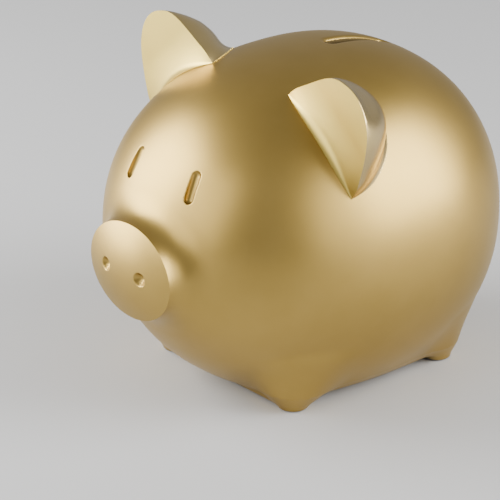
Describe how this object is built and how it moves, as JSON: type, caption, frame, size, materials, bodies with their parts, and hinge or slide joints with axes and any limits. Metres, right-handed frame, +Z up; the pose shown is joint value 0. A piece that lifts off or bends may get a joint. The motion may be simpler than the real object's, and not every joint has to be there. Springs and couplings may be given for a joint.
{
  "type": "figural animal coin bank",
  "caption": "Round pig-shaped cast brass coin bank with flat-faced ears, an oval snout, short legs, a coin slot on the back and a screw cap in the belly.",
  "frame": {"origin": "middle of the object's base: the centre of its box in plan, on the plane that the feet stand on", "axes": "+Z up, -Y towards the nose, +X towards the pig's left side"},
  "size_m": [0.156, 0.2022, 0.1564],
  "materials": {
    "satin_brass": "fine blasted satin",
    "ear_brass": "satin face, polished back",
    "collar_brass": "turned",
    "cap_brass": "turned, satin",
    "steel": "plain zinc plated",
    "black_rubber": "matt",
    "pad_rubber": "matt"
  },
  "bodies": {
    "bank": {"shell_left": "satin_brass", "shell_right": "satin_brass", "snout_plate": "satin_brass", "ear_left": "ear_brass", "ear_right": "ear_brass", "tail": "ear_brass", "seam_dowels": "steel", "ear_washers": "steel", "ear_nuts": "steel", "collar_screws": "steel", "belly_collar": "collar_brass", "foot_pad_front_left": "pad_rubber", "foot_pad_hind_left": "pad_rubber", "foot_pad_front_right": "pad_rubber", "foot_pad_hind_right": "pad_rubber"},
    "ring": {"cap_ring": "black_rubber"},
    "cap": {"belly_cap": "cap_brass"}
  },
  "joints": [
    {"name": "cap_travel", "type": "slide", "parent": "bank", "child": "ring", "axis": [0, 0, -1], "range_m": [0, 0.0091]},
    {"name": "cap_turn", "type": "hinge", "parent": "ring", "child": "cap", "pos_m": [0, 0.007, 0.008], "axis": [0, 0, -1], "range_deg": [0, 1080]}
  ],
  "couplings": [
    {"joint": "cap_travel", "follows": "cap_turn", "m_per_rad": 0.00047746}
  ]
}
